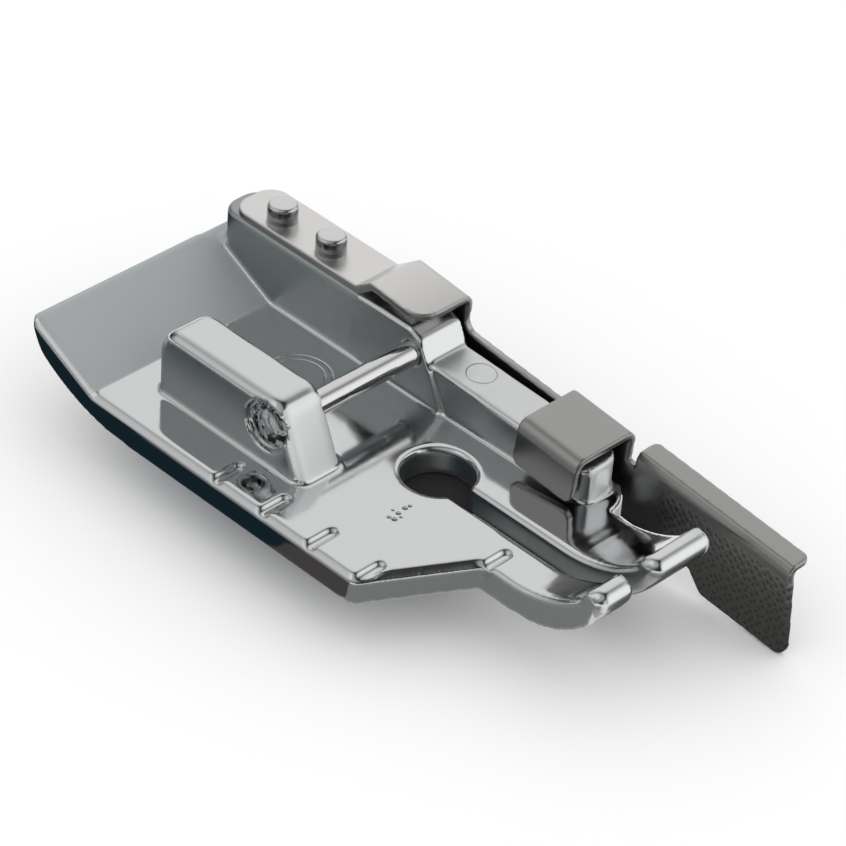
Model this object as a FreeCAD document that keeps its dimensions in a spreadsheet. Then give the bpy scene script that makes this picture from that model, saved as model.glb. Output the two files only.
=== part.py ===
import FreeCAD, Part
import math
import os
import Sketcher
from FreeCAD import Placement, Rotation, Vector

# A sewing machine presser foot with an edge guide, in millimetres.
# The origin is the centre of the needle hole on the sole, +Z up, +Y to the rear, +X to the guide.

doc = FreeCAD.newDocument("PresserFoot")
sheet = doc.addObject("Spreadsheet::Sheet", "Params")

SIZES = [
    # sole plate
    ("left_reach", 8.55),
    ("right_reach", 5.90),
    ("rear_reach", 19.60),
    ("plate_thick", 1.60),
    ("ramp_run", 4.70),
    ("bend_y", "=rear_reach - ramp_run"),
    ("ramp_rise", 2.25),
    ("heel_run", 7.10),
    ("heel_rise", 2.76),
    ("heel_start", "=rear_reach - heel_run"),
    ("heel_radius", "=(heel_run^2 + heel_rise^2) / (2 * heel_rise)"),
    ("rear_corner", 1.30),
    ("left_rear_corner", 0.60),
    ("rear_bevel", 0.25),
    ("rim_bevel", 0.32),
    ("side_corner", 0.60),
    # angled left front edge
    ("front_left_y", 3.10),
    ("front_turn_y", 6.10),
    # toes
    ("toe_left", 3.25),
    ("toe_right", 4.20),
    ("toe_start", 7.70),
    ("toe_top_radius", 6.80),
    ("toe_under_start", 8.20),
    ("toe_under_radius", 6.00),
    ("tip_y", 12.85),
    ("tip_z", 3.35),
    ("toe_edge_round", 0.30),
    # needle hole and slot
    ("needle_radius", 1.76),
    ("slot_left", 0.97),
    ("slot_right", 0.30),
    ("slot_rim", 0.32),
    ("needle_rim_round", 0.28),
    # seam marks, an eighth of an inch apart
    ("mark_pitch", 3.175),
    ("mark_radius", 0.32),
    ("mark_lift", 0.06),
    ("mark_inner", 6.60),
    ("mark_front_inner", 1.60),
    ("dimple_x", 7.20),
    ("dimple_y", 5.05),
    ("dimple_radius", 0.55),
    ("dimple_depth", 0.60),
    # ear on the left, wall and low step on the right
    ("ear_outer", 5.90),
    ("ear_inner", 3.05),
    ("ear_front", 3.20),
    ("ear_front_top", 4.60),
    ("ear_front_round", 1.30),
    ("ear_rear", 13.40),
    ("ear_rear_round", 1.40),
    ("side_top", 5.40),
    ("ear_edge_round", 0.65),
    ("wall_inner", 3.12),
    ("wall_inset", 0.70),
    ("wall_rear", "=rear_reach - wall_inset"),
    ("wall_round_share", 0.39),
    ("wall_rear_round", "=wall_round_share * (right_reach - wall_inner)"),
    ("wall_front", 3.00),
    ("brow_y", 4.70),
    ("brow_z", 5.00),
    ("brow_top_y", 5.50),
    ("wall_edge_round", 0.20),
    ("step_inner", 3.27),
    ("step_top", 4.04),
    ("step_fall", 0.50),
    ("step_front", 6.35),
    ("step_end_round", 1.30),
    ("step_nose_round", 0.70),
    ("step_edge_round", 0.28),
    # cross pin
    ("pin_radius", 0.64),
    ("pin_y", 5.25),
    ("pin_z", 4.05),
    ("pin_seat", 1.60),
    ("pin_end_round", 0.12),
    ("stake_radius", 1.32),
    ("stake_y", 5.84),
    ("stake_z", 3.72),
    ("stake_depth", 0.45),
    # spring sheet of the guide
    ("sheet_thick", 0.40),
    ("leaf_centre", 4.60),
    ("stud_x", 4.32),
    ("leaf_width", 2.90),
    ("leaf_inset", 0.75),
    ("leaf_rear", "=wall_rear - leaf_inset"),
    ("leaf_round", 1.10),
    ("flex_y", 9.20),
    ("stud_radius", 0.78),
    ("stud_shank", 0.50),
    ("stud_sink", 1.80),
    ("stud_height", 0.86),
    ("stud_dome", 0.16),
    ("stud_round", 0.22),
    ("stud_inset", 2.55),
    ("stud_rear_y", "=leaf_rear - stud_inset"),
    ("stud_pitch", 3.45),
    ("web_gap", 0.45),
    ("guide_distance", "=right_reach + web_gap"),
    ("guide_pitch_deg", 5.6),
    # guide, measured from the flex line in the guide's own frame
    ("lift_run", 0.95),
    ("lift_rise", 0.85),
    ("tab_front", 4.45),
    ("tab_corner", 1.20),
    ("tab_near", 3.10),
    ("bend_round", 0.70),
    ("web_rear", 1.60),
    ("web_top", 1.22),
    ("web_low", 5.00),
    ("saddle_rear", 11.65),
    ("saddle_front", 15.50),
    ("saddle_top", 0.12),
    ("flap_gap", 0.30),
    ("flap_low", 2.50),
    ("flap_corner", 0.50),
    ("notch_floor", 1.70),
    ("lip_start", 16.00),
    ("lip_fold", 0.92),
    ("lip_out", 1.00),
    ("lip_rise", 0.02),
    ("lip_corner", 0.40),
    ("blade_front_top", 25.80),
    ("blade_front_low", 26.60),
    ("blade_low", 5.96),
    ("blade_rear_high", 20.25),
    ("blade_rear_low", 21.20),
    ("blade_corner", 0.60),
]

for row, (alias, value) in enumerate(SIZES, start=1):
    sheet.set("A%d" % row, alias)
    sheet.set("B%d" % row, str(value))
    sheet.setAlias("B%d" % row, alias)
doc.recompute()


# Small helpers

def size(name):
    return float(getattr(sheet, name))


def named(expression):
    """Put the sheet's name before each alias in an expression."""
    words = []
    word = ""
    for letter in expression + " ":
        if letter.isalnum() or letter == "_":
            word += letter
            continue
        known = any(word == alias for alias, _ in SIZES)
        words.append("Params." + word if known else word)
        words.append(letter)
        word = ""
    return "".join(words).strip()


def plane(body, role):
    return next(item for item in body.Origin.OriginFeatures if item.Role == role)


def new_sketch(body, name, role, offset="0"):
    """A sketch on one of the body's own origin planes, moved along its normal."""
    sketch = body.newObject("Sketcher::SketchObject", name)
    sketch.AttachmentSupport = [(plane(body, role), "")]
    sketch.MapMode = "FlatFace"
    sketch.setExpression("AttachmentOffset.Base.z", named(offset))
    doc.recompute()
    return sketch


def value_of(sketch, expression):
    return float(sketch.evalExpression(named(expression)))


def pin_point(sketch, geometry, end, across, up):
    """Fix one point of a sketch at two expressions."""
    x, y = value_of(sketch, across), value_of(sketch, up)
    place = sketch.addConstraint(Sketcher.Constraint("DistanceX", geometry, end, x))
    sketch.setExpression("Constraints[%d]" % place, named(across))
    place = sketch.addConstraint(Sketcher.Constraint("DistanceY", geometry, end, y))
    sketch.setExpression("Constraints[%d]" % place, named(up))


def add_outline(sketch, corners, arcs=None):
    """A closed outline. arcs maps a side's number to its radius and to 1 or -1 for its hand."""
    arcs = arcs or {}
    spots = [Vector(value_of(sketch, a), value_of(sketch, b), 0) for a, b in corners]
    first = sketch.GeometryCount
    count = len(spots)
    for number in range(count):
        start, stop = spots[number], spots[(number + 1) % count]
        if number not in arcs:
            sketch.addGeometry(Part.LineSegment(start, stop))
            continue
        radius = value_of(sketch, arcs[number][0])
        half = (stop - start) * 0.5
        side = Vector(-half.y, half.x, 0)
        side.normalize()
        reach = math.sqrt(max(radius ** 2 - half.Length ** 2, 0.0))
        centre = start + half + side * reach * arcs[number][1]
        out = (start + half - centre) if reach > 1e-6 else side * -arcs[number][1]
        out.normalize()
        middle = centre + out * radius
        sketch.addGeometry(Part.Arc(start, middle, stop))
    for number in range(count):
        here, after = first + number, first + (number + 1) % count
        end = joined_end(sketch, here, spots[(number + 1) % count])
        begin = 3 - joined_end(sketch, after, spots[(number + 2) % count])
        sketch.addConstraint(Sketcher.Constraint("Coincident", here, end, after, begin))
    for number in range(count):
        begin = 3 - joined_end(sketch, first + number, spots[(number + 1) % count])
        pin_point(sketch, first + number, begin, *corners[number])
    for number, (radius, _) in arcs.items():
        place = sketch.addConstraint(Sketcher.Constraint("Radius", first + number, value_of(sketch, radius)))
        sketch.setExpression("Constraints[%d]" % place, named(radius))


def joined_end(sketch, geometry, spot):
    """Which end of a sketch curve lies at a spot, 1 for its start and 2 for its end."""
    return 2 if (sketch.getPoint(geometry, 2) - spot).Length < 1e-6 else 1


def add_circle(sketch, across, up, radius):
    centre = Vector(value_of(sketch, across), value_of(sketch, up), 0)
    ring = sketch.addGeometry(Part.Circle(centre, Vector(0, 0, 1), value_of(sketch, radius)))
    pin_point(sketch, ring, 3, across, up)
    place = sketch.addConstraint(Sketcher.Constraint("Radius", ring, value_of(sketch, radius)))
    sketch.setExpression("Constraints[%d]" % place, named(radius))


def pad(body, sketch, name, length):
    feature = body.newObject("PartDesign::Pad", name)
    feature.Profile = sketch
    feature.setExpression("Length", named(length))
    body.Tip = feature
    doc.recompute()
    return feature


def pocket(body, sketch, name, length, toward_normal=False):
    """Cut along the sketch's normal or against it, and make sure that something was cut."""
    before = body.Shape.Volume
    feature = body.newObject("PartDesign::Pocket", name)
    feature.Profile = sketch
    feature.Reversed = toward_normal
    feature.setExpression("Length", named(length))
    body.Tip = feature
    doc.recompute()
    if body.Shape.Volume > before - 1e-4:
        raise RuntimeError(name + " cuts nothing")
    return feature


def edges_where(shape, test):
    """Names of the edges whose middle point and direction pass a test."""
    found = []
    for number, edge in enumerate(shape.Edges, start=1):
        middle = edge.valueAt((edge.FirstParameter + edge.LastParameter) / 2)
        try:
            along = edge.tangentAt((edge.FirstParameter + edge.LastParameter) / 2)
        except (Part.OCCError, NotImplementedError):
            continue
        if test(middle, along, edge):
            found.append("Edge%d" % number)
    return found


def fillet(body, name, radius, test):
    """Round the edges of the body's last feature that pass a test."""
    base = body.Tip
    chosen = edges_where(base.Shape, test)
    if not chosen:
        raise RuntimeError(name + " finds no edge")
    feature = body.newObject("PartDesign::Fillet", name)
    feature.Base = (base, chosen)
    feature.setExpression("Radius", named(radius))
    body.Tip = feature
    doc.recompute()
    if feature.Shape.isNull() or not feature.Shape.isValid():
        raise RuntimeError(name + " fails on " + ", ".join(chosen))
    return feature


def chamfer(body, name, breadth, test):
    """Bevel the edges of the body's last feature that pass a test."""
    base = body.Tip
    chosen = edges_where(base.Shape, test)
    if not chosen:
        raise RuntimeError(name + " finds no edge")
    feature = body.newObject("PartDesign::Chamfer", name)
    feature.Base = (base, chosen)
    feature.setExpression("Size", named(breadth))
    body.Tip = feature
    doc.recompute()
    if feature.Shape.isNull() or not feature.Shape.isValid():
        raise RuntimeError(name + " fails on " + ", ".join(chosen))
    return feature


def near(value, wanted, slack=0.02):
    return abs(value - wanted) < slack


# Foot body: sole plate, ramp and toes

foot = doc.addObject("PartDesign::Body", "FootBody")
foot.Label = "foot_body"


def side_profile():
    """The sole seen from the side, with the heel and the toes curving up from the sole plane."""
    sketch = new_sketch(foot, "SideProfile", "YZ_Plane", "-left_reach")
    rear, top, start = size("rear_reach"), size("plate_thick"), -size("toe_start")
    heel_y, heel_r = size("heel_start"), size("heel_radius")
    heel_z = heel_r - math.sqrt(heel_r ** 2 - (rear - heel_y) ** 2)
    top_r, under_r = size("toe_top_radius"), size("toe_under_radius")
    under_y = -size("toe_under_start")
    tip = Vector(-size("tip_y"), size("tip_z"), 0)
    over = Vector(start, top + top_r, 0)
    under = Vector(under_y, under_r, 0)
    tip_r = under_r - (tip - under).Length
    touch = under + (tip - under).normalize() * under_r
    gap = (tip - over).Length
    along = (top_r ** 2 - tip_r ** 2 + gap ** 2) / (2 * gap)
    aside = math.sqrt(top_r ** 2 - along ** 2)
    way = (tip - over).normalize()
    crease = over + way * along + Vector(-way.y, way.x, 0) * aside
    rear_low, rear_high = Vector(rear, heel_z, 0), Vector(rear, top + size("ramp_rise"), 0)
    bend, first, sole_front = Vector(size("bend_y"), top, 0), Vector(start, top, 0), Vector(under_y, 0, 0)
    sole_rear = Vector(heel_y, 0, 0)
    over_mid = over + ((first - over).normalize() + (crease - over).normalize()).normalize() * top_r
    under_mid = under + ((touch - under).normalize() + (sole_front - under).normalize()).normalize() * under_r
    heel = Vector(heel_y, heel_r, 0)
    heel_mid = heel + ((sole_rear - heel).normalize() + (rear_low - heel).normalize()).normalize() * heel_r
    tip_mid = tip + Vector(-math.cos(0.9), math.sin(0.9), 0) * tip_r
    rear_edge = sketch.addGeometry(Part.LineSegment(rear_low, rear_high))
    ramp = sketch.addGeometry(Part.LineSegment(rear_high, bend))
    deck = sketch.addGeometry(Part.LineSegment(bend, first))
    over_arc = sketch.addGeometry(Part.Arc(first, over_mid, crease))
    tip_arc = sketch.addGeometry(Part.Arc(crease, tip_mid, touch))
    under_arc = sketch.addGeometry(Part.Arc(touch, under_mid, sole_front))
    sole = sketch.addGeometry(Part.LineSegment(sole_front, sole_rear))
    heel_arc = sketch.addGeometry(Part.Arc(sole_rear, heel_mid, rear_low))
    order = [rear_edge, ramp, deck, over_arc, tip_arc, under_arc, sole, heel_arc]
    meets = [rear_high, bend, first, crease, touch, sole_front, sole_rear, rear_low]
    for number, curve in enumerate(order):
        after = order[(number + 1) % len(order)]
        kind = "Tangent" if curve == tip_arc else "Coincident"
        end = joined_end(sketch, curve, meets[number])
        begin = joined_end(sketch, after, meets[number])
        sketch.addConstraint(Sketcher.Constraint(kind, curve, end, after, begin))
    pin_point(sketch, rear_edge, 2, "rear_reach", "plate_thick + ramp_rise")
    pin_point(sketch, ramp, 2, "bend_y", "plate_thick")
    pin_point(sketch, deck, 2, "-toe_start", "plate_thick")
    pin_point(sketch, sole, 1, "-toe_under_start", "0")
    pin_point(sketch, sole, 2, "heel_start", "0")
    pin_point(sketch, over_arc, 3, "-toe_start", "plate_thick + toe_top_radius")
    pin_point(sketch, under_arc, 3, "-toe_under_start", "toe_under_radius")
    pin_point(sketch, tip_arc, 3, "-tip_y", "tip_z")
    pin_point(sketch, heel_arc, 3, "heel_start", "heel_radius")
    sketch.addConstraint(Sketcher.Constraint("Vertical", rear_edge))
    doc.recompute()
    return sketch


pad(foot, side_profile(), "Sole", "left_reach + right_reach")

plan = new_sketch(foot, "PlanOutline", "XY_Plane", "-1")
margin = "rear_reach + 4"
add_outline(plan, [
    ("-left_reach - 5", "-tip_y - 5"),
    ("right_reach + 5", "-tip_y - 5"),
    ("right_reach + 5", margin),
    ("-left_reach - 5", margin),
])
add_outline(plan, [
    ("-left_reach", "-front_left_y"),
    ("-toe_left", "-front_turn_y"),
    ("-toe_left", "-tip_y - 2"),
    ("-slot_left", "-tip_y - 2"),
    ("-slot_left", "-tip_y - 1.9"),
    ("slot_right", "-tip_y - 1.9"),
    ("slot_right", "-tip_y - 2"),
    ("toe_right", "-tip_y - 2"),
    ("toe_right", "-step_front - 1"),
    ("right_reach", "-step_front - 1 + (right_reach - toe_right)"),
    ("right_reach", "rear_reach - rear_corner"),
    ("right_reach - rear_corner", "rear_reach"),
    ("-left_reach", "rear_reach"),
], {8: ("right_reach - toe_right", 1), 10: ("rear_corner", 1)})
pocket(foot, plan, "PlanTrim", "side_top + 20", True)

ear_sketch = new_sketch(foot, "EarSide", "YZ_Plane", "-ear_outer")
add_outline(ear_sketch, [
    ("ear_front - 0.3", "plate_thick - 0.6"),
    ("ear_rear", "plate_thick - 0.6"),
    ("ear_rear", "side_top - ear_rear_round"),
    ("ear_rear - ear_rear_round", "side_top"),
    ("ear_front_top + ear_front_round * 0.9", "side_top"),
    ("ear_front_top", "side_top - ear_front_round * 0.55"),
    ("ear_front", "plate_thick"),
], {2: ("ear_rear_round", 1), 4: ("ear_front_round", 1)})
pad(foot, ear_sketch, "Ear", "ear_outer - ear_inner")

wall_sketch = new_sketch(foot, "WallSide", "YZ_Plane", "wall_inner")
add_outline(wall_sketch, [
    ("wall_front - 0.3", "plate_thick - 0.6"),
    ("bend_y", "plate_thick - 0.6"),
    ("wall_rear", "plate_thick + ramp_rise * (wall_rear - bend_y) / (rear_reach - bend_y) - 0.6"),
    ("wall_rear", "side_top"),
    ("brow_top_y", "side_top"),
    ("brow_y", "brow_z"),
    ("wall_front", "plate_thick"),
])
pad(foot, wall_sketch, "TallWall", "right_reach - wall_inner")

RAMP_AT_WALL = "plate_thick + ramp_rise * (wall_rear - bend_y) / ramp_run"
corner_sketch = new_sketch(foot, "WallCorners", "XY_Plane", RAMP_AT_WALL + " + 0.02")
add_outline(corner_sketch, [
    ("wall_inner - 0.2", "wall_rear + 0.2"),
    ("wall_inner - 0.2", "wall_rear - wall_rear_round"),
    ("wall_inner", "wall_rear - wall_rear_round"),
    ("wall_inner + wall_rear_round", "wall_rear"),
    ("wall_inner + wall_rear_round", "wall_rear + 0.2"),
], {2: ("wall_rear_round", -1)})
add_outline(corner_sketch, [
    ("right_reach + 0.2", "wall_rear + 0.2"),
    ("right_reach - wall_rear_round", "wall_rear + 0.2"),
    ("right_reach - wall_rear_round", "wall_rear"),
    ("right_reach", "wall_rear - wall_rear_round"),
    ("right_reach + 0.2", "wall_rear - wall_rear_round"),
], {2: ("wall_rear_round", -1)})
pocket(foot, corner_sketch, "WallRearCorners", "side_top", True)

step_sketch = new_sketch(foot, "StepSide", "YZ_Plane", "step_inner")
add_outline(step_sketch, [
    ("-step_front", "plate_thick - 0.6"),
    ("brow_y + 1", "plate_thick - 0.6"),
    ("brow_y + 1", "step_top"),
    ("-step_front", "step_top - step_fall"),
])
pad(foot, step_sketch, "LowStep", "right_reach - step_inner")

end_sketch = new_sketch(foot, "StepCorner", "XY_Plane", "plate_thick")
add_outline(end_sketch, [
    ("right_reach + 0.2", "-step_front - 0.2"),
    ("right_reach + 0.2", "-step_front + step_end_round"),
    ("right_reach", "-step_front + step_end_round"),
    ("right_reach - step_end_round", "-step_front"),
    ("right_reach - step_end_round", "-step_front - 0.2"),
], {2: ("step_end_round", -1)})
pocket(foot, end_sketch, "StepEndCorner", "side_top", True)

hole_sketch = new_sketch(foot, "NeedleSlot", "XY_Plane", "-1")
add_outline(hole_sketch, [
    ("-slot_left", "-sqrt(needle_radius^2 - slot_left^2)"),
    ("-slot_left", "-tip_y - 3"),
    ("slot_right", "-tip_y - 3"),
    ("slot_right", "-sqrt(needle_radius^2 - slot_right^2)"),
], {3: ("needle_radius", 1)})


def widen_needle_arc(sketch):
    """Swap the short arc across the slot for the long way round the needle hole."""
    sketch.delGeometry(sketch.GeometryCount - 1)
    radius = size("needle_radius")
    left, right = size("slot_left"), size("slot_right")
    start = Vector(-left, -math.sqrt(radius ** 2 - left ** 2), 0)
    stop = Vector(right, -math.sqrt(radius ** 2 - right ** 2), 0)
    ring = sketch.addGeometry(Part.Arc(start, Vector(0, radius, 0), stop))
    left_end = joined_end(sketch, ring, start)
    right_end = joined_end(sketch, ring, stop)
    sketch.addConstraint(Sketcher.Constraint("Coincident", 0, 1, ring, left_end))
    sketch.addConstraint(Sketcher.Constraint("Coincident", 2, 2, ring, right_end))
    place = sketch.addConstraint(Sketcher.Constraint("Radius", ring, radius))
    sketch.setExpression("Constraints[%d]" % place, named("needle_radius"))


widen_needle_arc(hole_sketch)
pocket(foot, hole_sketch, "NeedleHole", "side_top + 20", True)


# Rounded edges of the casting

left, top = -size("left_reach"), size("plate_thick")
high = size("side_top")


def left_rim(middle, along, edge):
    return near(middle.x, left) and abs(along.z) < 0.6 and abs(along.x) < 0.1 and middle.z > top - 0.1 \
        and edge.Length > 1.5


def ear_rim(middle, along, edge):
    on_side = near(middle.x, -size("ear_outer")) or near(middle.x, -size("ear_inner"))
    return on_side and middle.z > top + 0.6 and abs(along.x) < 0.2


def wall_rim(middle, along, edge):
    return near(middle.x, size("wall_inner")) and middle.z > high - 0.6 and abs(along.x) < 0.1 \
        and middle.y > size("brow_y") - 0.1


def step_rim(middle, along, edge):
    drop = size("step_fall") / (size("brow_y") + 1 + size("step_front"))
    height = size("step_top") - drop * (size("brow_y") + 1 - middle.y)
    return near(middle.x, size("step_inner")) and near(middle.z, height) and abs(along.y) > 0.9


def slot_rim(middle, along, edge):
    return near(middle.x, size("slot_right")) and abs(along.z) < 0.8 and middle.z > top - 0.05 \
        and middle.y < -1.0 and edge.Length > 0.5


def needle_rim(middle, along, edge):
    """The upper edge of the needle hole itself."""
    from_centre = math.hypot(middle.x, middle.y)
    return near(from_centre, size("needle_radius")) and near(middle.z, top) and edge.Length > 3


def toe_rims(middle, along, edge):
    """The toes' upper outer edges, from the front of the plate to the bead."""
    on_side = near(middle.x, -size("toe_left")) or near(middle.x, size("toe_right"))
    return on_side and -size("tip_y") < middle.y < -size("toe_start") and middle.z > top \
        and abs(along.x) < 0.1 and edge.Length > 2


def step_nose(middle, along, edge):
    return near(middle.x, size("step_inner")) and near(middle.y, -size("step_front")) and abs(along.z) > 0.9


def left_corner(middle, along, edge):
    return near(middle.x, left) and near(middle.y, -size("front_left_y")) and abs(along.z) > 0.9


def left_rear_corner(middle, along, edge):
    return near(middle.x, left, 0.4) and near(middle.y, size("rear_reach"), 0.6) and abs(along.z) > 0.6 \
        and edge.Length > 0.3


def rear_rims(middle, along, edge):
    return near(middle.y, size("rear_reach"), 0.05) and abs(along.x) > 0.9 and edge.Length > 3


fillet(foot, "LeftCorner", "side_corner", left_corner)
fillet(foot, "StepNose", "step_nose_round", step_nose)
fillet(foot, "EarRim", "ear_edge_round", ear_rim)
fillet(foot, "WallRim", "wall_edge_round", wall_rim)
fillet(foot, "StepRim", "step_edge_round", step_rim)
fillet(foot, "SlotRim", "slot_rim", slot_rim)
fillet(foot, "NeedleRim", "needle_rim_round", needle_rim)
chamfer(foot, "LeftRim", "rim_bevel", left_rim)
fillet(foot, "ToeRims", "toe_edge_round", toe_rims)
chamfer(foot, "RearRims", "rear_bevel", rear_rims)
fillet(foot, "LeftRearCorner", "left_rear_corner", left_rear_corner)


# Seam marks and dimple

def mark_sketch(name, row, outer, inner):
    """Half of a round-ended groove, turned about a line just above the plate."""
    sketch = new_sketch(foot, name, "XY_Plane", "plate_thick + mark_lift")
    add_outline(sketch, [
        (outer, row),
        (inner, row),
        (inner + " - mark_radius", row + " + mark_radius"),
        (outer, row + " + mark_radius"),
    ], {1: ("mark_radius", 1)})
    return sketch


def turn_cut(sketch, name):
    before = foot.Shape.Volume
    feature = foot.newObject("PartDesign::Groove", name)
    feature.Profile = sketch
    feature.ReferenceAxis = (sketch, ["Edge1"])
    feature.Angle = 360
    foot.Tip = feature
    doc.recompute()
    if foot.Shape.Volume > before - 1e-4:
        raise RuntimeError(name + " cuts nothing")
    return feature


side_marks = turn_cut(mark_sketch("MarkSketch", "2 * mark_pitch", "-left_reach - 0.5", "-mark_inner"), "Mark")
row_of_marks = foot.newObject("PartDesign::LinearPattern", "MarkRow")
row_of_marks.Originals = [side_marks]
row_of_marks.Direction = (plane(foot, "Y_Axis"), [""])
row_of_marks.Reversed = True
row_of_marks.Occurrences = 4
row_of_marks.setExpression("Length", named("3 * mark_pitch"))
foot.Tip = row_of_marks
doc.recompute()
turn_cut(mark_sketch("FrontMarkSketch", "-2 * mark_pitch", "-toe_left - 1.2", "-mark_front_inner"), "FrontMark")

dimple_sketch = new_sketch(foot, "DimpleSketch", "XY_Plane", "plate_thick - dimple_depth")
add_circle(dimple_sketch, "-dimple_x", "dimple_y", "dimple_radius")
pocket(foot, dimple_sketch, "Dimple", "dimple_depth + 0.2", True)

# Seats of the cross pin and of the studs

bore_sketch = new_sketch(foot, "PinBoreSketch", "YZ_Plane", "-ear_outer - 0.5")
add_circle(bore_sketch, "pin_y", "pin_z", "pin_radius")
pocket(foot, bore_sketch, "PinBore", "ear_outer + 0.5 + wall_inner + pin_seat", True)

stake_sketch = new_sketch(foot, "StakeSketch", "YZ_Plane", "-ear_outer - 0.5")
add_circle(stake_sketch, "stake_y", "stake_z", "stake_radius")
pocket(foot, stake_sketch, "StakeRecess", "stake_depth + 0.5", True)

shank_sketch = new_sketch(foot, "ShankSketch", "XY_Plane", "side_top - stud_sink")
for shift in ("", " - stud_pitch"):
    add_circle(shank_sketch, "stud_x", "stud_rear_y" + shift, "stud_shank")
pocket(foot, shank_sketch, "ShankHoles", "stud_sink + 0.5", True)

# Cross pin

pin = doc.addObject("PartDesign::Body", "CrossPin")
pin.Label = "ankle_pin"
pin_sketch = new_sketch(pin, "PinSketch", "YZ_Plane", "-ear_outer + stake_depth")
add_circle(pin_sketch, "pin_y", "pin_z", "pin_radius")
pad(pin, pin_sketch, "PinBar", "ear_outer - stake_depth + wall_inner + pin_seat")


def pin_inner_end(middle, along, edge):
    return near(middle.x, size("wall_inner") + size("pin_seat")) and edge.Length > 2


fillet(pin, "PinEnd", "pin_end_round", pin_inner_end)


# Riveted end of the spring sheet

leaf = doc.addObject("PartDesign::Body", "GuideLeaf")
leaf.Label = "guide_leaf"
leaf_sketch = new_sketch(leaf, "LeafSketch", "XY_Plane", "side_top")
add_outline(leaf_sketch, [
    ("leaf_centre - leaf_width / 2", "flex_y"),
    ("leaf_centre + leaf_width / 2", "flex_y"),
    ("leaf_centre + leaf_width / 2", "leaf_rear - leaf_round"),
    ("leaf_centre + leaf_width / 2 - leaf_round", "leaf_rear"),
    ("leaf_centre - leaf_width / 2 + leaf_round", "leaf_rear"),
    ("leaf_centre - leaf_width / 2", "leaf_rear - leaf_round"),
], {2: ("leaf_round", 1), 4: ("leaf_round", 1)})
for shift in ("", " - stud_pitch"):
    add_circle(leaf_sketch, "stud_x", "stud_rear_y" + shift, "stud_shank")
pad(leaf, leaf_sketch, "Leaf", "sheet_thick")


# Studs that hold the sheet

def make_stud(number, row):
    """A plain headed stud, turned about its own upright axis."""
    body = doc.addObject("PartDesign::Body", "Stud%d" % number)
    sketch = new_sketch(body, "StudSketch%d" % number, "XZ_Plane", "-(" + row + ")")
    seat = "side_top + sheet_thick"
    add_outline(sketch, [
        ("stud_x", "side_top - stud_sink"),
        ("stud_x + stud_shank", "side_top - stud_sink"),
        ("stud_x + stud_shank", seat),
        ("stud_x + stud_radius", seat),
        ("stud_x + stud_radius", seat + " + stud_height - stud_round"),
        ("stud_x + stud_radius - stud_round", seat + " + stud_height"),
        ("stud_x", seat + " + stud_height + stud_dome"),
    ], {4: ("stud_round", 1), 5: ("(stud_radius - stud_round)^2 / (2 * stud_dome) + stud_dome / 2", 1)})
    turned = body.newObject("PartDesign::Revolution", "StudTurn%d" % number)
    turned.Profile = sketch
    turned.ReferenceAxis = (sketch, ["Edge7"])
    turned.Angle = 360
    body.Tip = turned
    doc.recompute()
    return body


studs = doc.addObject("Part::Compound", "GuideStuds")
studs.Label = "guide_studs"
studs.Links = [make_stud(1, "stud_rear_y"), make_stud(2, "stud_rear_y - stud_pitch")]
doc.recompute()


# Folded guide, drawn from the flex line and then tipped nose down about it

guide = doc.addObject("PartDesign::Body", "GuideBlade")
guide.Label = "guide_blade"
guide.setExpression("Placement.Base.y", named("flex_y"))
guide.setExpression("Placement.Base.z", named("side_top + sheet_thick"))
guide.setExpression("Placement.Rotation.Angle", named("guide_pitch_deg"))
guide.Placement = Placement(Vector(0, size("flex_y"), high + size("sheet_thick")),
                            Rotation(Vector(1, 0, 0), size("guide_pitch_deg")))
doc.recompute()

OUT = "guide_distance + sheet_thick"


def cross_section(name, rear, corners, arcs, length):
    """A bent sheet's cross-section in XZ, padded forward from its rear line."""
    sketch = new_sketch(guide, name + "Sketch", "XZ_Plane", rear)
    add_outline(sketch, corners, arcs)
    return pad(guide, sketch, name, length)


lift_sketch = new_sketch(guide, "LiftSketch", "YZ_Plane", "tab_near")
TILT = "guide_pitch_deg * 1deg"
SLOPE = "sheet_thick * (sqrt(lift_run^2 + lift_rise^2) - lift_run) / lift_rise"
HEEL = "sheet_thick * (sqrt(lift_run^2 + lift_rise^2) - lift_rise) / lift_run"
add_outline(lift_sketch, [
    ("0", "0"),
    ("-lift_run", "lift_rise"),
    ("-lift_run - 0.4", "lift_rise"),
    ("-lift_run - 0.4", "lift_rise - sheet_thick"),
    ("-lift_run - " + SLOPE, "lift_rise - sheet_thick"),
    ("-" + HEEL + " - 0.1 * lift_run", "-sheet_thick + 0.1 * lift_rise"),
    ("-sheet_thick * sin(" + TILT + ")", "-sheet_thick * cos(" + TILT + ")"),
])
pad(guide, lift_sketch, "Lift", "leaf_centre + leaf_width / 2 - tab_near")

cross_section("Tab", "lift_run", [
    ("tab_near", "lift_rise"),
    ("tab_near", "lift_rise - sheet_thick"),
    ("guide_distance - bend_round + sheet_thick", "lift_rise - sheet_thick"),
    ("guide_distance", "lift_rise - bend_round"),
    ("guide_distance", "-web_top - 1"),
    (OUT, "-web_top - 1"),
    (OUT, "lift_rise - bend_round"),
    (OUT + " - bend_round", "lift_rise"),
], {2: ("bend_round - sheet_thick", -1), 6: ("bend_round", 1)}, "tab_front - lift_run")

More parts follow.
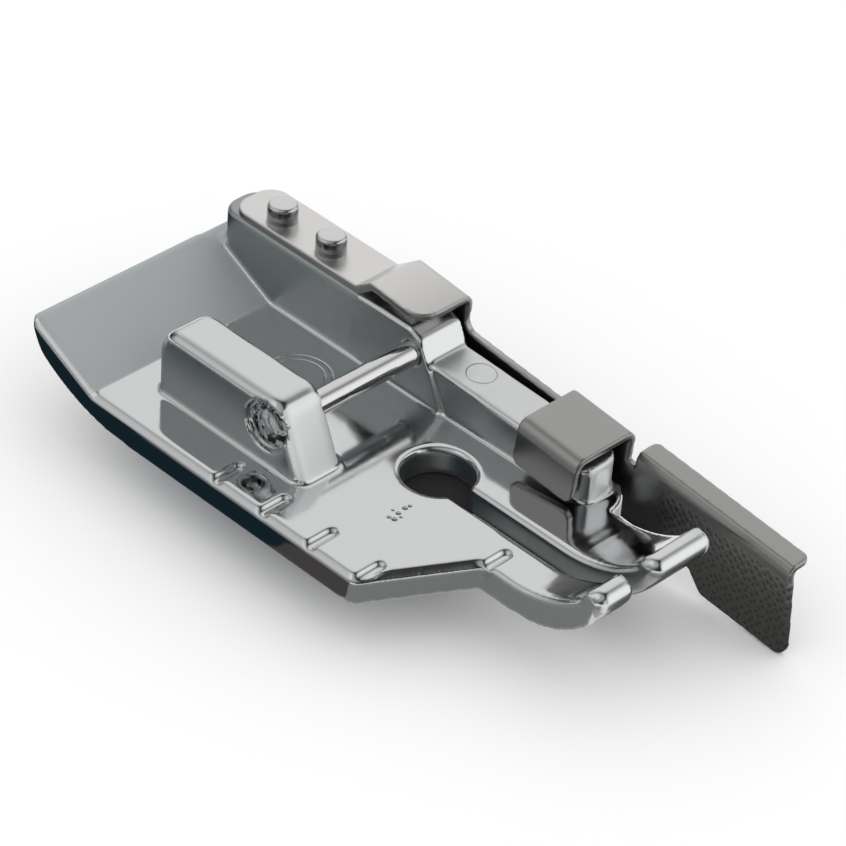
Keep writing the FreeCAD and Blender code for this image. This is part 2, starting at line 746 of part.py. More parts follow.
web_sketch = new_sketch(guide, "WebSketch", "YZ_Plane", "guide_distance")
add_outline(web_sketch, [
    ("-web_rear", "-0.6"),
    ("-web_rear", "-web_low"),
    ("-blade_rear_high", "-web_low"),
    ("-blade_rear_low", "-blade_low"),
    ("-blade_front_low", "-blade_low"),
    ("-blade_front_top", "-lip_fold - 0.25"),
    ("-lip_start", "-lip_fold - 0.25"),
    ("-lip_start", "-notch_floor"),
    ("-saddle_front", "-notch_floor"),
    ("-saddle_front", "-bend_round + saddle_top"),
    ("-saddle_rear", "-bend_round + saddle_top"),
    ("-saddle_rear", "-web_top"),
    ("-tab_front - 0.6", "-web_top"),
    ("-tab_front", "-web_top + 0.6"),
    ("-tab_front", "-0.6"),
], {12: ("0.6", 1)})
pad(guide, web_sketch, "Web", "sheet_thick")

cross_section("Saddle", "saddle_rear", [
    ("step_inner - flap_gap - sheet_thick", "-flap_low"),
    ("step_inner - flap_gap", "-flap_low"),
    ("step_inner - flap_gap", "saddle_top - bend_round"),
    ("step_inner - flap_gap + bend_round - sheet_thick", "saddle_top - sheet_thick"),
    ("guide_distance - bend_round + sheet_thick", "saddle_top - sheet_thick"),
    ("guide_distance", "saddle_top - bend_round"),
    (OUT, "saddle_top - bend_round"),
    (OUT + " - bend_round", "saddle_top"),
    ("step_inner - flap_gap - sheet_thick + bend_round", "saddle_top"),
    ("step_inner - flap_gap - sheet_thick", "saddle_top - bend_round"),
], {2: ("bend_round - sheet_thick", -1), 4: ("bend_round - sheet_thick", -1), 6: ("bend_round", 1),
    8: ("bend_round", 1)}, "saddle_front - saddle_rear")

LEAN = "sqrt(lip_out^2 + lip_rise^2)"
cross_section("Lip", "lip_start", [
    ("guide_distance", "-lip_fold - 0.25"),
    (OUT, "-lip_fold - 0.25"),
    (OUT + " + lip_out", "-lip_fold - 0.25 + lip_rise"),
    (OUT + " + lip_out - sheet_thick * lip_rise / " + LEAN,
     "-lip_fold - 0.25 + lip_rise + sheet_thick * lip_out / " + LEAN),
    ("guide_distance + 0.25", "-lip_fold + 0.12"),
], {}, "blade_front_top - lip_start")


def lip_ends(middle, along, edge):
    """The lip's outer corners, in the guide's own frame."""
    outer = middle.x > size("guide_distance") + size("sheet_thick") + size("lip_out") - 0.35
    ends = near(middle.y, -size("lip_start"), 0.05) or near(middle.y, -size("blade_front_top"), 0.05)
    return outer and ends and near(edge.Length, size("sheet_thick"), 0.05)


def flap_ends(middle, along, edge):
    return near(middle.z, -size("flap_low"), 0.05) and near(edge.Length, size("sheet_thick"), 0.02) \
        and middle.x < size("step_inner")


def blade_ends(middle, along, edge):
    return near(middle.z, -size("blade_low"), 0.05) and near(edge.Length, size("sheet_thick"), 0.02)


def tab_end(middle, along, edge):
    return near(middle.x, size("tab_near"), 0.05) and near(middle.y, -size("tab_front"), 0.05) \
        and near(edge.Length, size("sheet_thick"), 0.02)


fillet(guide, "LipEnds", "lip_corner", lip_ends)
fillet(guide, "FlapEnds", "flap_corner", flap_ends)
fillet(guide, "BladeEnds", "blade_corner", blade_ends)
fillet(guide, "TabEnd", "tab_corner", tab_end)


# Check every object and write each sub-part

failed = [item.Name for item in doc.Objects if "Invalid" in item.State or "Error" in item.State]
if failed:
    raise RuntimeError("failed objects: " + ", ".join(failed))
os.makedirs("parts", exist_ok=True)
for piece in (foot, pin, leaf, studs, guide):
    if piece.Shape.isNull() or not piece.Shape.isValid():
        raise RuntimeError(piece.Label + " has no valid shape")
    piece.Shape.exportStep(os.path.join("parts", piece.Label + ".step"))
    print(piece.Label, "volume %.2f" % piece.Shape.Volume, "solids", len(piece.Shape.Solids))
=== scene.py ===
# %% [markdown]
# This lesson dresses a small sewing machine presser foot. The solids come from the CAD
# model, in metres, with the origin at the centre of the needle hole on the sole, X to the
# right, Y to the rear and Z up. Nothing here changes a size: it only makes the polished,
# plated surfaces that the real foot has.

# %% Load the solids
import bpy
import bmesh
import math
from mathutils import Matrix, Vector


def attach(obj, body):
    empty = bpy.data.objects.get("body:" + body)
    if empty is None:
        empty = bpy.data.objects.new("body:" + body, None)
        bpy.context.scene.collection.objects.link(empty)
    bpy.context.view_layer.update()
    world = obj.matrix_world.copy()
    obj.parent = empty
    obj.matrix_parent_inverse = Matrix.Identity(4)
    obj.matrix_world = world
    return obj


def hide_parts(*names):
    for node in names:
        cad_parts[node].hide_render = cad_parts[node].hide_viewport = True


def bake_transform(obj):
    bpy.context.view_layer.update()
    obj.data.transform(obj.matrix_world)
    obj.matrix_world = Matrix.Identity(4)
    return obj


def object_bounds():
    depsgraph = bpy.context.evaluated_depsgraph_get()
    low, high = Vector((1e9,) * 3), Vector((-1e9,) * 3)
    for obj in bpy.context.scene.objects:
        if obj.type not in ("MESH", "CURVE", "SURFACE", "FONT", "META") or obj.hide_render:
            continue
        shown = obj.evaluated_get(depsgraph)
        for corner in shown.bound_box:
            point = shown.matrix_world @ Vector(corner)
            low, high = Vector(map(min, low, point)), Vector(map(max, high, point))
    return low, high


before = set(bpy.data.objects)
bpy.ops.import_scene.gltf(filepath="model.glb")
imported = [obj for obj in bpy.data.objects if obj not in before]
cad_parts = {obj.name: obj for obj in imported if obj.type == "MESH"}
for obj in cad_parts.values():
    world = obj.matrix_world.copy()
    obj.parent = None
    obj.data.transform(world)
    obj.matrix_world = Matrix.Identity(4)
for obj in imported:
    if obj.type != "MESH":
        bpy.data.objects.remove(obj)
cad_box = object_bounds()
MM = 0.001
print("CAD nodes:", sorted(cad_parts))

# %% [markdown]
# The camera stands in front of the foot, to the left and above it. It was worked out from
# the foot's own parallel edges: a long lens, so the lines hardly converge, and a slight
# roll, because the foot was photographed a little turned in the picture.

# %% Camera
LENS_MM = 170.2
SENSOR_MM = 36.0
NEAREST_SEEN_M = 0.005
FARTHEST_SEEN_M = 10.0
camera_right = Vector((0.70919, -0.70235, 0.06131))
camera_up = Vector((0.39322, 0.46623, 0.79247))
camera_back = camera_right.cross(camera_up)
camera_place = Vector((-109.71, -99.622, 117.51)) * MM

camera_data = bpy.data.cameras.new("photo_camera")
camera_data.sensor_width = SENSOR_MM
camera_data.lens = LENS_MM
camera_data.clip_start = NEAREST_SEEN_M
camera_data.clip_end = FARTHEST_SEEN_M
camera = bpy.data.objects.new("photo_camera", camera_data)
camera.matrix_world = Matrix((
    (camera_right.x, camera_up.x, camera_back.x, camera_place.x),
    (camera_right.y, camera_up.y, camera_back.y, camera_place.y),
    (camera_right.z, camera_up.z, camera_back.z, camera_place.z),
    (0, 0, 0, 1),
))
bpy.context.scene.collection.objects.link(camera)
bpy.context.scene.camera = camera
bpy.context.scene.view_settings.view_transform = "Standard"
print("camera at", tuple(round(c, 4) for c in camera.location))

# %% [markdown]
# Polished metal shows what stands round it, so its materials are short: a metal colour, a
# small roughness, and a bump that keeps the reflections from being perfect. A die casting
# is polished by tumbling, which leaves it faintly wavy, and plating adds a fine skin. Two
# noises at two scales do this. Both read Object coordinates, which are in metres here.

# %% Helpers for materials
def new_material(name):
    material = bpy.data.materials.new(name)
    material.use_nodes = True
    return material, material.node_tree.nodes, material.node_tree.links


def add_noise(nodes, links, scale, detail=2.0, rough=0.5, stretch=(1, 1, 1), place=None):
    """A noise on a place in metres, with its size given as repeats for each metre."""
    if place is None:
        place = nodes.new("ShaderNodeTexCoord").outputs["Object"]
    mapping = nodes.new("ShaderNodeMapping")
    mapping.inputs["Scale"].default_value = stretch
    texture = nodes.new("ShaderNodeTexNoise")
    texture.inputs["Scale"].default_value = scale
    texture.inputs["Detail"].default_value = detail
    texture.inputs["Roughness"].default_value = rough
    links.new(place, mapping.inputs["Vector"])
    links.new(mapping.outputs["Vector"], texture.inputs["Vector"])
    return texture


def add_bump(nodes, links, height, distance, strength=1.0, under=None):
    bump = nodes.new("ShaderNodeBump")
    bump.inputs["Distance"].default_value = distance
    bump.inputs["Strength"].default_value = strength
    links.new(height, bump.inputs["Height"])
    if under is not None:
        links.new(under, bump.inputs["Normal"])
    return bump.outputs["Normal"]


def spread(nodes, links, value, low, high):
    """Bring a noise's middle range to the wanted range."""
    remap = nodes.new("ShaderNodeMapRange")
    remap.inputs["From Min"].default_value = 0.3
    remap.inputs["From Max"].default_value = 0.7
    remap.inputs["To Min"].default_value = low
    remap.inputs["To Max"].default_value = high
    links.new(value, remap.inputs["Value"])
    return remap.outputs["Result"]


# %% [markdown]
# Marks that are only a few hundredths of a millimetre deep, such as the ring left by an
# ejector pin, are too fine for the mesh. A bump draws them: a height that drops along a
# circle round a centre. Casting pores are the same thing with no radius. Where metal was
# hammered or drilled it is rough, and there a strong noise joins the bump inside a ball, with
# patches of painted shade: dark colour that stands in for the shade of crevices too fine to model.

# %% Helpers for marks
CRUMPLE_PER_M = 2500
SPOT_RIM_SHARE = 0.8
CALM_FROM_SHARE = 0.5
CALM_TO_SHARE = 1.5
PATCH_SOFTNESS = 0.06


def math_node(nodes, links, operation, first, second=None):
    node = nodes.new("ShaderNodeMath")
    node.operation = operation
    for number, value in enumerate((first, second)):
        if value is None:
            continue
        if isinstance(value, (int, float)):
            node.inputs[number].default_value = value
        else:
            links.new(value, node.inputs[number])
    return node.outputs[0]


def flat_place(nodes, links):
    """Object coordinates with Z set to zero, so that a mark doesn't ask for a height."""
    place = nodes.new("ShaderNodeTexCoord")
    flatten = nodes.new("ShaderNodeVectorMath")
    flatten.operation = "MULTIPLY"
    flatten.inputs[1].default_value = (1, 1, 0)
    links.new(place.outputs["Object"], flatten.inputs[0])
    return flatten.outputs["Vector"]


def distance_to(nodes, links, place, centre_mm):
    far = nodes.new("ShaderNodeVectorMath")
    far.operation = "DISTANCE"
    far.inputs[1].default_value = Vector(centre_mm) * MM
    links.new(place, far.inputs[0])
    return far.outputs["Value"]


def soft_step(nodes, links, value, zero_mm, one_mm):
    """0 at one distance and 1 at the other, with an even slope between."""
    step = nodes.new("ShaderNodeMapRange")
    step.interpolation_type = "SMOOTHSTEP"
    step.inputs["From Min"].default_value = zero_mm * MM
    step.inputs["From Max"].default_value = one_mm * MM
    links.new(value, step.inputs["Value"])
    return step.outputs["Result"]


def round_mark(nodes, links, flat, centre_mm, radius_mm, width_mm):
    """1 on a circle line of the given width, falling softly to 0 beside it."""
    off_line = distance_to(nodes, links, flat, (*centre_mm, 0))
    off_line = math_node(nodes, links, "SUBTRACT", off_line, radius_mm * MM)
    off_line = math_node(nodes, links, "ABSOLUTE", off_line)
    return soft_step(nodes, links, off_line, width_mm, 0.0)


def rough_spot(nodes, links, centre_mm, radius_mm, calm_mm, shade_share):
    """A crumpled height in a shell round a calm middle, and where painted shade darkens the metal there."""
    place = nodes.new("ShaderNodeTexCoord")
    off = distance_to(nodes, links, place.outputs["Object"], centre_mm)
    inside = soft_step(nodes, links, off, radius_mm, radius_mm * SPOT_RIM_SHARE)
    past_calm = soft_step(nodes, links, off, calm_mm * CALM_FROM_SHARE, calm_mm * CALM_TO_SHARE)
    inside = math_node(nodes, links, "MULTIPLY", inside, past_calm)
    crumple = add_noise(nodes, links, CRUMPLE_PER_M)
    height = math_node(nodes, links, "MULTIPLY", crumple.outputs["Fac"], inside)
    shade_patches = nodes.new("ShaderNodeMapRange")
    shade_patches.inputs["From Min"].default_value = shade_share + PATCH_SOFTNESS
    shade_patches.inputs["From Max"].default_value = shade_share - PATCH_SOFTNESS
    links.new(crumple.outputs["Fac"], shade_patches.inputs["Value"])
    return height, math_node(nodes, links, "MULTIPLY", shade_patches.outputs["Result"], inside)


# %% [markdown]
# Tumbling polishes the open, upward faces of the casting like a mirror, but it hardly
# reaches its upright faces, which stay satin. Their colour is painted darker, as painted
# shade, and the level faces are painted paler, as painted light. The ramp and the low step
# are satin too, but pale. The mesh carries three values for this. The material reads polish
# for its roughness, a lightness for its colour, which paints light and shade by how each face
# is turned, and bare_metal for how far it is metal at all. The real plating is metal
# everywhere. The ramp, the ear's front slope and the step's front end are set partly matt
# only because they look so even and so pale in the photograph.

# %% Polished metals
WAVE_PER_M = 420
SKIN_PER_M = 9000
CLOUD_PER_M = 1600


def mixed(nodes, links, factor, kind, low, high):
    """A colour or a number between two, chosen by a factor from 0 to 1."""
    mix = nodes.new("ShaderNodeMix")
    mix.data_type = kind
    first, second, result = (6, 7, 2) if kind == "RGBA" else (2, 3, 0)
    links.new(factor, mix.inputs[0])
    for slot, value in ((first, low), (second, high)):
        if isinstance(value, (int, float)):
            mix.inputs[slot].default_value = value
        elif isinstance(value, tuple):
            mix.inputs[slot].default_value = (*value, 1)
        else:
            links.new(value, mix.inputs[slot])
    return mix.outputs[result]


def mesh_value(nodes, name):
    """A value that the piece's own mesh carries at each point."""
    value = nodes.new("ShaderNodeAttribute")
    value.attribute_name = name
    return value.outputs["Fac"]


def polished_metal(name, colour, roughness, wave_mm, skin_mm, satin_and_shade=None, marks=(), spots=()):
    material, nodes, links = new_material(name)
    shader = nodes["Principled BSDF"]
    shader.inputs["Metallic"].default_value = 1.0
    wave = add_noise(nodes, links, WAVE_PER_M)
    skin = add_noise(nodes, links, SKIN_PER_M, 3.0, 0.6)
    cloud = add_noise(nodes, links, CLOUD_PER_M, 3.0)
    shine = spread(nodes, links, cloud.outputs["Fac"], roughness * 0.8, roughness * 1.3)
    if satin_and_shade is not None:
        painted_shade_colour, satin_rough = satin_and_shade
        dull = spread(nodes, links, cloud.outputs["Fac"], satin_rough * 0.9, satin_rough * 1.1)
        shine = mixed(nodes, links, mesh_value(nodes, "polish"), "FLOAT", dull, shine)
        links.new(mesh_value(nodes, "bare_metal"), shader.inputs["Metallic"])
        # Painted light and shade: the colour runs from the darker satin colour on upright faces to the
        # paler plate colour on level ones.
        colour = mixed(nodes, links, mesh_value(nodes, "painted_lightness"), "RGBA", painted_shade_colour, colour)
    links.new(shine, shader.inputs["Roughness"])
    normal = add_bump(nodes, links, wave.outputs["Fac"], wave_mm * MM)
    normal = add_bump(nodes, links, skin.outputs["Fac"], skin_mm * MM, 1.0, normal)
    flat = flat_place(nodes, links)
    for centre, radius, width, depth in marks:
        mark = round_mark(nodes, links, flat, centre, radius, width)
        lowered = math_node(nodes, links, "MULTIPLY", mark, -1.0)
        normal = add_bump(nodes, links, lowered, depth * MM, 1.0, normal)
    # Painted shade: dark patches of colour in each rough spot stand in for the shade in its crevices.
    for centre, radius, calm, depth, shade_share in spots:
        height, painted_shade = rough_spot(nodes, links, centre, radius, calm, shade_share)
        normal = add_bump(nodes, links, height, depth * MM, 1.0, normal)
        colour = mixed(nodes, links, painted_shade, "RGBA", colour, CREVICE_SHADE)
    links.new(normal, shader.inputs["Normal"])
    if isinstance(colour, tuple):
        shader.inputs["Base Color"].default_value = (*colour, 1)
    else:
        links.new(colour, shader.inputs["Base Color"])
    return material


# %% The casting's marks, and its material
EJECTOR_RING = ((4.73, 2.05), 0.76, 0.05, 0.02)
CHANNEL_RINGS = [
    ((0, 9.70), 1.72, 0.10, 0.05),
    ((0, 9.70), 1.36, 0.08, 0.04),
]
PORES = [
    ((-4.18, -0.94), 0.0, 0.13, 0.12),
    ((-4.10, -1.22), 0.0, 0.17, 0.16),
    ((-3.68, -0.69), 0.0, 0.10, 0.09),
    ((-3.65, -1.02), 0.0, 0.15, 0.14),
    ((-3.15, -0.95), 0.0, 0.16, 0.15),
    ((-3.76, -1.30), 0.0, 0.10, 0.09),
    ((-2.86, -0.99), 0.0, 0.12, 0.11),
]
STAKED_END = ((-5.45, 5.84, 3.72), 1.32, 0.55, 0.18, 0.48)
DIMPLE = ((-7.20, 5.05, 1.20), 0.74, 0.01, 0.10, 0.46)
# The colour of the painted shade in the crevices of the staked end and the dimple.
CREVICE_SHADE = (0.02, 0.022, 0.022)
PLATE_COLOUR = (0.72, 0.73, 0.735)
# The satin colour is painted shade for upright faces; 0.40 is their roughness.
SATIN_AND_PAINTED_SHADE = ((0.36, 0.385, 0.39), 0.40)
plated_casting = polished_metal("plated_casting", PLATE_COLOUR, 0.10, 0.008, 0.0004, SATIN_AND_PAINTED_SHADE,
                                [EJECTOR_RING] + CHANNEL_RINGS + PORES, [STAKED_END, DIMPLE])
steel_pin = polished_metal("steel_pin", (0.72, 0.72, 0.72), 0.07, 0.004, 0.0004, None, (), [STAKED_END])
# The studs' upright sides get a dark grey of painted shade.
plated_studs = polished_metal("plated_studs", PLATE_COLOUR, 0.15, 0.006, 0.0005, ((0.20, 0.20, 0.20), 0.15))
print("plated casting, pin and studs have their finish")

# %% [markdown]
# The guide is rolled sheet, a little duller than the plating. Its blade is pressed all over
# with fine dimples that grip the cloth's edge. A regular Voronoi pattern gives their centres,
# and a mask keeps them on the blade: ahead of its rear end, below the lip's fold, and on the
# blade's own faces. The guide hangs nose down, so the fold's line slopes in the mask too.
# The sheet bends, so its pattern can't read where the metal is now: each point of the mesh
# keeps its place at rest, and the pattern reads that and stays on the metal in every pose.

# %% Spring sheet
DIMPLE_PITCH_MM = 0.36
DIMPLE_TURN = math.radians(45)
DIMPLE_RANDOMNESS = 0.45
DIMPLE_DEPTH_MM = 0.022
DOT_RADIUS_MM = 0.14
# How dark the painted shade in each blade dimple is.
DOT_PAINTED_SHADE = 0.62
BLADE_START_MM = -8.4
BLADE_FACE_MM = 6.79
GUIDE_PITCH = math.radians(5.6)
GUIDE_FLEX_MM = (0, 9.20, 5.80)
FOLD_DROP_MM = -1.75
START_FADE_MM = 0.5
FACE_FADE_MM = 0.05
FOLD_FADE_MM = 0.2
PALE_FROM_Y_MM = 10.0
PALE_TO_Y_MM = 0.0
GRAIN_PER_M = 2600
GRAIN_STRETCH = (6, 1, 6)
SHEET_WAVE_PER_M = 500
SHEET_WAVE_MM = 0.006


def blade_mask(nodes, links, place):
    """1 on the flat of the blade, and 0 on the rest of the guide."""
    split = nodes.new("ShaderNodeSeparateXYZ")
    links.new(place, split.inputs[0])
    ahead = soft_step(nodes, links, split.outputs["Y"], BLADE_START_MM + START_FADE_MM,
                      BLADE_START_MM - START_FADE_MM)
    inward = soft_step(nodes, links, split.outputs["X"], BLADE_FACE_MM + FACE_FADE_MM, BLADE_FACE_MM)
    moved = nodes.new("ShaderNodeVectorMath")
    moved.operation = "SUBTRACT"
    moved.inputs[1].default_value = Vector(GUIDE_FLEX_MM) * MM
    links.new(place, moved.inputs[0])
    level = nodes.new("ShaderNodeVectorMath")
    level.operation = "DOT_PRODUCT"
    level.inputs[1].default_value = (0, -math.sin(GUIDE_PITCH), math.cos(GUIDE_PITCH))
    links.new(moved.outputs["Vector"], level.inputs[0])
    below = soft_step(nodes, links, level.outputs["Value"], FOLD_DROP_MM + FOLD_FADE_MM,
                      FOLD_DROP_MM - FOLD_FADE_MM)
    mask = math_node(nodes, links, "MULTIPLY", ahead, inward)
    return math_node(nodes, links, "MULTIPLY", mask, below)


def spring_sheet_metal(name, pale, front, upright, roughness):
    material, nodes, links = new_material(name)
    shader = nodes["Principled BSDF"]
    shader.inputs["Metallic"].default_value = 1.0
    kept_place = nodes.new("ShaderNodeAttribute")
    kept_place.attribute_name = "resting_place"
    place = kept_place.outputs["Vector"]
    split = nodes.new("ShaderNodeSeparateXYZ")
    links.new(place, split.inputs[0])
    # Painted shade: level faces darken from the pale colour at the rear to the front colour ahead.
    forward = soft_step(nodes, links, split.outputs["Y"], PALE_FROM_Y_MM, PALE_TO_Y_MM)
    grain = add_noise(nodes, links, GRAIN_PER_M, 3.0, 0.6, GRAIN_STRETCH, place)
    wave = add_noise(nodes, links, SHEET_WAVE_PER_M, place=place)
    links.new(spread(nodes, links, grain.outputs["Fac"], roughness * 0.95, roughness * 1.05),
              shader.inputs["Roughness"])
    normal = add_bump(nodes, links, wave.outputs["Fac"], SHEET_WAVE_MM * MM)
    across = nodes.new("ShaderNodeCombineXYZ")
    links.new(split.outputs["Y"], across.inputs["X"])
    links.new(split.outputs["Z"], across.inputs["Y"])
    slanted = nodes.new("ShaderNodeMapping")
    slanted.inputs["Rotation"].default_value = (0, 0, DIMPLE_TURN)
    links.new(across.outputs["Vector"], slanted.inputs["Vector"])
    dimples = nodes.new("ShaderNodeTexVoronoi")
    dimples.voronoi_dimensions = "2D"
    dimples.inputs["Scale"].default_value = 1000 / DIMPLE_PITCH_MM
    dimples.inputs["Randomness"].default_value = DIMPLE_RANDOMNESS
    links.new(slanted.outputs["Vector"], dimples.inputs["Vector"])
    mask = blade_mask(nodes, links, place)
    off_centre = math_node(nodes, links, "MULTIPLY", dimples.outputs["Distance"], DIMPLE_PITCH_MM * MM)
    dot = soft_step(nodes, links, off_centre, DOT_RADIUS_MM, DOT_RADIUS_MM * 0.3)
    dot = math_node(nodes, links, "MULTIPLY", dot, mask)
    # Painted shade: each dimple on the blade is a darker dot of the upright colour.
    with_dot_shade = mixed(nodes, links, dot, "RGBA", upright, tuple(DOT_PAINTED_SHADE * part for part in upright))
    level_colour = mixed(nodes, links, forward, "RGBA", pale, front)
    # Painted light and shade: level faces take the paler colours, upright faces the darker one.
    links.new(mixed(nodes, links, mesh_value(nodes, "painted_lightness"), "RGBA", with_dot_shade, level_colour),
              shader.inputs["Base Color"])
    height = math_node(nodes, links, "MULTIPLY", dimples.outputs["Distance"], mask)
    normal = add_bump(nodes, links, height, DIMPLE_DEPTH_MM * MM, 1.0, normal)
    links.new(normal, shader.inputs["Normal"])
    return material


spring_sheet = spring_sheet_metal("spring_sheet", (0.80, 0.79, 0.775), (0.41, 0.405, 0.395),
                                  (0.30, 0.30, 0.29), 0.33)
print("dimples every", DIMPLE_PITCH_MM, "mm on the blade")

# %% [markdown]
# The casting has no truly sharp edge: the die and the tumbling round each one, inside and
# out. A copy of the solid is wrapped in an even skin of small squares and relaxed a little,
# which rounds every edge by about two squares. The beads at the tips of the toes end in
# balls, so there the skin is drawn in towards the bead's axis by a circle's own formula.

# %% Helpers that soften a copy of a solid
SAME_POINT_M = 0.0000005
RELAX_SHARE = 0.5


def merged_copy(name, *nodes):
    mesh = bmesh.new()
    for node in nodes:
        mesh.from_mesh(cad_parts[node].data)
    bmesh.ops.remove_doubles(mesh, verts=mesh.verts, dist=SAME_POINT_M)
    data = bpy.data.meshes.new(name)
    mesh.to_mesh(data)
    mesh.free()
    piece = bpy.data.objects.new(name, data)
    bpy.context.scene.collection.objects.link(piece)
    return piece


def applied(piece):
    """Keep what the modifiers make as the piece's own mesh."""
    bpy.context.view_layer.update()
    seen = piece.evaluated_get(bpy.context.evaluated_depsgraph_get())
    data = bpy.data.meshes.new_from_object(seen)
    piece.modifiers.clear()
    piece.data = data
    return piece


def wrapped(piece, square_mm, passes):
    skin = piece.modifiers.new("skin", "REMESH")
    skin.mode = "VOXEL"
    skin.voxel_size = square_mm * MM
    skin.use_smooth_shade = True
    relax = piece.modifiers.new("relax", "SMOOTH")
    relax.factor = RELAX_SHARE
    relax.iterations = passes
    return applied(piece)


BEAD_AXIS_MM = (-12.85, 3.35)
BEAD_ENDS_MM = [(-3.25, 1), (-0.97, -1), (0.30, 1), (4.20, -1)]
BEAD_BALL_MM = 0.58
BEAD_BLEND_MM = 0.55
BEAD_REACH_MM = 1.2
PAST_END_MM = 0.1
LEAST_ROUND = 0.08


def round_bead_ends(piece):
    """Draw the skin near each bead end in to a ball, ahead of and above the bead's axis."""
    for point in piece.data.vertices:
        x, y, z = point.co / MM
        ahead = min(1.0, max(0.0, (BEAD_AXIS_MM[0] + BEAD_BLEND_MM - y) / BEAD_BLEND_MM))
        if ahead == 0.0 or z < BEAD_AXIS_MM[1] - BEAD_REACH_MM:
            continue
        for end, inward in BEAD_ENDS_MM:
            deep = (x - end) * inward
            if -PAST_END_MM < deep < BEAD_BALL_MM:
                short = 1.0 - max(deep, 0.0) / BEAD_BALL_MM
                keep = 1.0 - ahead * (1.0 - math.sqrt(max(LEAST_ROUND, 1.0 - short ** 2)))
                y = BEAD_AXIS_MM[0] + (y - BEAD_AXIS_MM[0]) * keep
                z = BEAD_AXIS_MM[1] + (z - BEAD_AXIS_MM[1]) * keep
                point.co = Vector((x, y, z)) * MM


def relaxed(piece, passes):
    relax = piece.modifiers.new("relax", "SMOOTH")
    relax.factor = RELAX_SHARE
    relax.iterations = passes
    return applied(piece)


def calmed(piece, low_mm, high_mm, passes):
    """Relax only the skin inside a box, where a ledge is hardly wider than two squares."""
    mesh = bmesh.new()
    mesh.from_mesh(piece.data)
    inside = [point for point in mesh.verts
              if all(low <= part / MM <= high for low, part, high in zip(low_mm, point.co, high_mm))]
    for _ in range(passes):
        bmesh.ops.smooth_vert(mesh, verts=inside, factor=RELAX_SHARE,
                              use_axis_x=True, use_axis_y=True, use_axis_z=True)
    mesh.to_mesh(piece.data)
    mesh.free()
    print(piece.name, "calmed at", len(inside), "points")


def finish_with(piece, material, body):
    data = piece.data
    data.materials.clear()
    data.materials.append(material)
    data.polygons.foreach_set("material_index", [0] * len(data.polygons))
    data.polygons.foreach_set("use_smooth", [True] * len(data.polygons))
    if body:
        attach(piece, body)
    triangles = sum(len(face.vertices) - 2 for face in data.polygons)
    print(piece.name, "has", triangles, "triangles")
    return piece


# %% Foot body
RAMP_START_MM = 15.0
RAMP_TOP_MM = 4.2
RAMP_LEVEL = 0.8
LEDGE_LEVEL = 0.3
STEP_INNER_MM = 3.4
STEP_CORNER_MM = 0.2
STEP_REAR_MM = 4.3
STEP_END_MM = -5.4
STEP_FOOT_MM = 1.6
STEP_TOP_FROM_MM = 3.3
STEP_TOP_TO_MM = 4.3
STEP_LEVEL = 0.9
STEP_FORWARD = -0.5
LEFT_SIDE_MM = -8.45
EAR_INNER_MM = -2.9
EAR_REAR_MM = 5.2
EAR_FOOT_MM = 1.75
EAR_FORWARD = -0.6
WALL_RIM_MM = 5.05
WALL_INNER_MM = 2.8
WALL_LEAF_MM = 9.0
WALL_LEDGE_MM = ((2.4, 18.4, 2.2), (6.0, 19.7, 4.4))


def add_values(piece, satin_below, mirror_above, special=None):
    """Write the three values: polish and the lightness are 1 on level faces and 0 on upright ones; the
    lightness is painted light and shade.
    """
    polish, painted_lightness, bare_metal = [], [], []
    for point in piece.data.vertices:
        level = (abs(point.normal.z) - satin_below) / (mirror_above - satin_below)
        level = min(1.0, max(0.0, level))
        values = special(point.co / MM, point.normal, level) if special else None
        polish.append(values[0] if values else level)
        painted_lightness.append(values[1] if values else level)
        bare_metal.append(values[2] if values else 1.0)
    for name, values in (("polish", polish), ("painted_lightness", painted_lightness), ("bare_metal", bare_metal)):
        piece.data.attributes.new(name, "FLOAT", "POINT").data.foreach_set("value", values)


def casting_values(place, normal, level):
    """The faces that don't follow the rule, by their place in millimetres, with their own painted light and
    shade.
    """
    on_ledge = place.x > WALL_LEDGE_MM[0][0] and place.y > WALL_LEDGE_MM[0][1]
    ramp_level = LEDGE_LEVEL if on_ledge else RAMP_LEVEL
    on_step = place.x > STEP_INNER_MM and place.y < STEP_REAR_MM
    if place.y > RAMP_START_MM and place.z < RAMP_TOP_MM and normal.z > ramp_level:
        return 0.0, 0.10, 0.25
    if on_step and STEP_TOP_FROM_MM < place.z < STEP_TOP_TO_MM and normal.z > STEP_LEVEL:
        return 0.25, level, 1.0
    if place.x < LEFT_SIDE_MM:
        return 1.0, level, 1.0
    # Painted light: the step's front end and the ear's front slope take the palest colour.
    at_step_end = place.x > STEP_INNER_MM + STEP_CORNER_MM and place.y < STEP_END_MM
    if at_step_end and place.z > STEP_FOOT_MM and normal.y < STEP_FORWARD:
        return 0.3, 1.0, 0.3
    on_ear_front = place.x < EAR_INNER_MM and place.y < EAR_REAR_MM
    if on_ear_front and place.z > EAR_FOOT_MM and normal.y < EAR_FORWARD:
        return 0.3, 1.0, 0.3
    # Painted shade: the wall's top at the leaf takes a dark colour.
    if place.z > WALL_RIM_MM and place.x > WALL_INNER_MM and place.y > WALL_LEAF_MM:
        return 0.3, 0.1, 1.0
    # Painted shade: the staked end is a little darker, the dimple's pit much darker.
    for spot, values in ((STAKED_END, (0.85, 0.55, 1.0)), (DIMPLE, (0.25, 0.10, 1.0))):
        if (place - Vector(spot[0])).length < spot[1]:
            return values
    return None


SQUARE_MM = 0.12
foot = wrapped(merged_copy("foot_casting", "foot_body"), SQUARE_MM, 3)
round_bead_ends(foot)
relaxed(foot, 2)
calmed(foot, *WALL_LEDGE_MM, 10)
add_values(foot, 0.10, 0.35, casting_values)
finish_with(foot, plated_casting, "foot")
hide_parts("foot_body")

